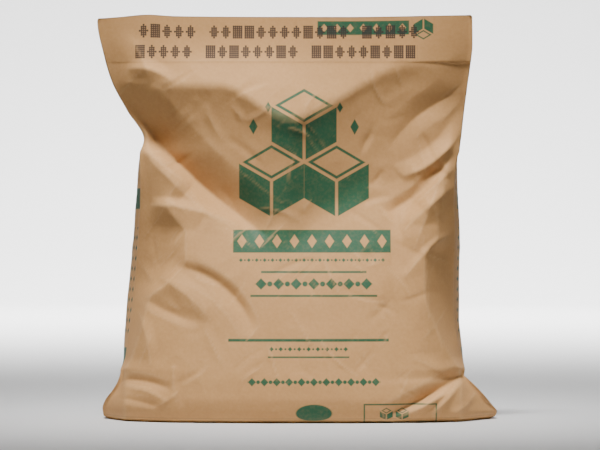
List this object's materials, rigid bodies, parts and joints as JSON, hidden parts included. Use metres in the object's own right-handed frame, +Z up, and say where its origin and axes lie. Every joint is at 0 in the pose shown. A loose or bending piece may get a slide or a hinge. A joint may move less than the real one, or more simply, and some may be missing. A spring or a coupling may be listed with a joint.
{
  "type": "filled paper sack of sugar",
  "caption": "Gusseted kraft paper sack filled with sugar, standing upright, with a flat glued closure folded to the front and pinched ears at its folded bottom.",
  "frame": {"origin": "on the ground, at the bottom centre of the sack's box", "axes": "+Z up; +X to the right as seen from the front; the printed front faces -Y"},
  "size_m": [0.4608, 0.241, 0.4661],
  "materials": {
    "kraft_paper": null
  },
  "bodies": {
    "root": {"sack": "kraft_paper"}
  },
  "joints": []
}
